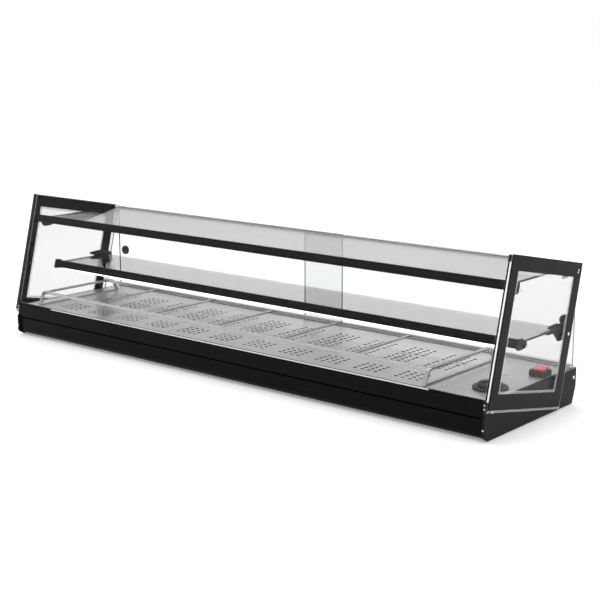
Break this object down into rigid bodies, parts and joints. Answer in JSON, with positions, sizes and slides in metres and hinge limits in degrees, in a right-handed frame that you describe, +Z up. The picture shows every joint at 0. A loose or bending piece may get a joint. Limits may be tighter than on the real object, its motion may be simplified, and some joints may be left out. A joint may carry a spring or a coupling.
{
  "type": "heated food display case",
  "caption": "Countertop heated display case with slanted front glass, framed side panes, two glass shelves, heated deck with rack, and sliding rear doors.",
  "frame": {"origin": "on the counter, at the middle of the case's length and depth", "axes": "+X along the length towards the end with the controls, +Y towards the rear sliding doors, +Z up"},
  "size_m": [1.5, 0.3834, 0.377],
  "materials": {
    "black_coat": "semi-matt black powder coat",
    "black_plastic": "fine-grained black moulding",
    "clear_glass": "clear toughened glass",
    "clear_track": "clear extruded track",
    "steel": "fine brushed stainless",
    "plain_steel": "plain sheet",
    "heater_steel": "dull heater plate",
    "track_metal": "satin anodised",
    "rubber": "matt black",
    "seal": "translucent grey seal",
    "screw": "bright screw head",
    "trim": "bright strip",
    "lamp": "white diffuser",
    "rocker_red": "red translucent rocker"
  },
  "bodies": {
    "case": {"deck_plate": "steel", "door_track_lower": "track_metal", "door_track_upper": "clear_track", "end_cap_left": "black_coat", "end_cap_right": "black_coat", "fascia_lower": "black_coat", "fascia_upper": "black_coat", "floor_pan": "plain_steel", "foot_front_left": "rubber", "foot_front_right": "rubber", "foot_rear_left": "rubber", "foot_rear_right": "rubber", "frame_screw_front_left": "screw", "frame_screw_front_right": "screw", "frame_screw_rear_left": "screw", "frame_screw_rear_right": "screw", "front_gasket_left": "rubber", "front_gasket_right": "rubber", "front_glass": "clear_glass", "front_trim_strip": "trim", "glass_base_seal": "rubber", "glass_clip_left": "black_plastic", "glass_clip_right": "black_plastic", "glass_foot_left": "black_plastic", "glass_foot_right": "black_plastic", "heater_plate": "heater_steel", "lamp_strip": "lamp", "mains_inlet": "black_plastic", "mid_bracket_front_left": "black_coat", "mid_bracket_front_right": "black_coat", "mid_bracket_rear_left": "black_coat", "mid_bracket_rear_right": "black_coat", "mid_shelf_glass": "clear_glass", "mid_shelf_rail": "black_coat", "rear_panel": "black_coat", "rocker_housing": "black_plastic", "side_filler_left": "clear_glass", "side_filler_right": "clear_glass", "side_frame_left": "black_coat", "side_frame_right": "black_coat", "side_glass_left": "clear_glass", "side_glass_right": "clear_glass", "side_seal_left": "seal", "side_seal_right": "seal", "thermostat_bezel": "black_plastic", "top_bracket_front_left": "black_coat", "top_bracket_front_right": "black_coat", "top_bracket_rear_left": "black_coat", "top_bracket_rear_right": "black_coat", "top_shelf_glass": "clear_glass", "top_shelf_rail": "black_coat"},
    "door_left": {"rear_door_left": "clear_glass", "door_pull_left": "black_plastic"},
    "door_right": {"rear_door_right": "clear_glass", "door_pull_right": "black_plastic"},
    "rocker_switch": {"rocker": "rocker_red"},
    "knob": {"thermostat_knob": "black_plastic"},
    "rack": {"serving_rack": "steel"}
  },
  "joints": [
    {"name": "door_left_slide", "type": "slide", "parent": "case", "child": "door_left", "axis": [1, 0, 0], "range_m": [0, 0.652]},
    {"name": "door_right_slide", "type": "slide", "parent": "case", "child": "door_right", "axis": [1, 0, 0], "range_m": [-0.708, 0]},
    {"name": "rocker_rock", "type": "hinge", "parent": "case", "child": "rocker_switch", "pos_m": [0.713, 0.07835, 0.0953], "axis": [1, 0, 0], "range_deg": [-28, 0]},
    {"name": "knob_turn", "type": "hinge", "parent": "case", "child": "knob", "pos_m": [0.684, -0.07865, 0.0869], "axis": [0, 0, 1], "range_deg": [-270, 0]},
    {"name": "rack_lift", "type": "slide", "parent": "case", "child": "rack", "axis": [0, 0, 1], "range_m": [0, 0.03]}
  ]
}
